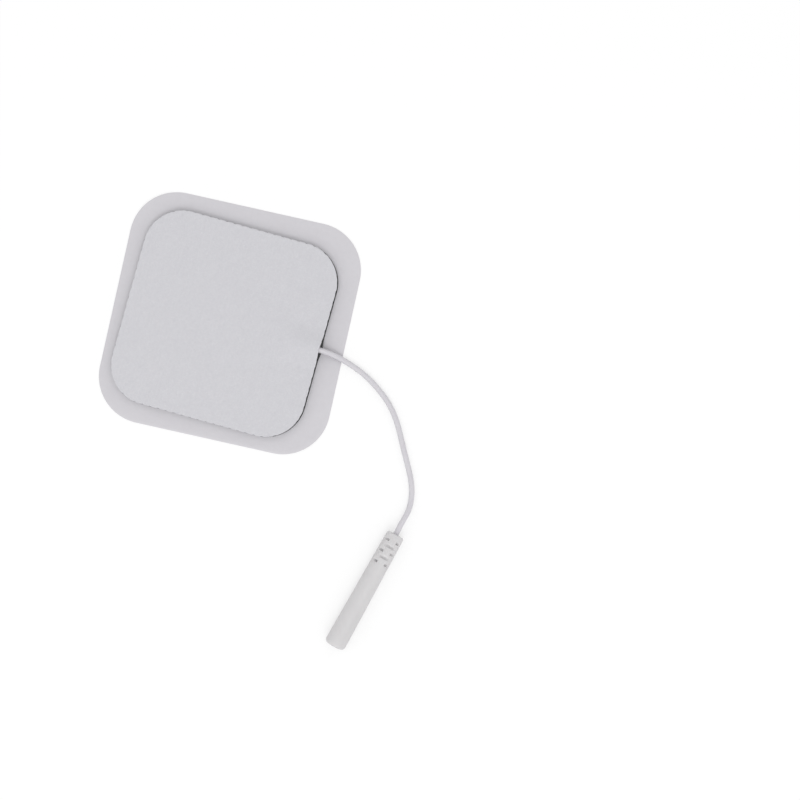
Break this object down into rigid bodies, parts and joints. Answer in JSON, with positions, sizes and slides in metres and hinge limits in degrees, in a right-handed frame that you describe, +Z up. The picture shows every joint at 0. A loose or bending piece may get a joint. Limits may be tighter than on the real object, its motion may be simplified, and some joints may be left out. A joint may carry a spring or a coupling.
{
  "type": "tens electrode pad",
  "caption": "Square self-adhesive electrode pad with rounded corners on a release liner, and a thin lead that ends in a moulded socket plug.",
  "frame": {"origin": "centre of the release liner's underside, on the surface that the part lies on", "axes": "+Z up through the pad's layers, +X towards the side of the pad where the lead leaves, +Y along that side"},
  "size_m": [0.0871, 0.102, 0.0054],
  "materials": {
    "nonwoven_fabric": "matt embossed nonwoven",
    "carbon_film": "satin black",
    "hydrogel": "wet gloss, clear",
    "scrim_fibre": "matt open net",
    "liner_film": "milky semi-gloss film",
    "lead_pvc": "satin",
    "plug_pvc": "satin moulded",
    "plated_brass": "bright nickel plate",
    "tinned_copper": "bright tinned"
  },
  "bodies": {
    "root": {"backing_fabric": "nonwoven_fabric", "carbon_film": "carbon_film", "gel_upper": "hydrogel", "gel_scrim": "scrim_fibre", "gel_lower": "hydrogel", "release_liner": "liner_film", "lead_strand_1": "tinned_copper", "lead_strand_2": "tinned_copper", "lead_strand_3": "tinned_copper", "lead_strand_4": "tinned_copper", "lead_strand_5": "tinned_copper", "lead_strand_6": "tinned_copper", "lead_strand_7": "tinned_copper", "lead_wire": "lead_pvc", "plug_body": "plug_pvc", "socket_contact": "plated_brass", "core_stub": "tinned_copper"}
  },
  "joints": []
}
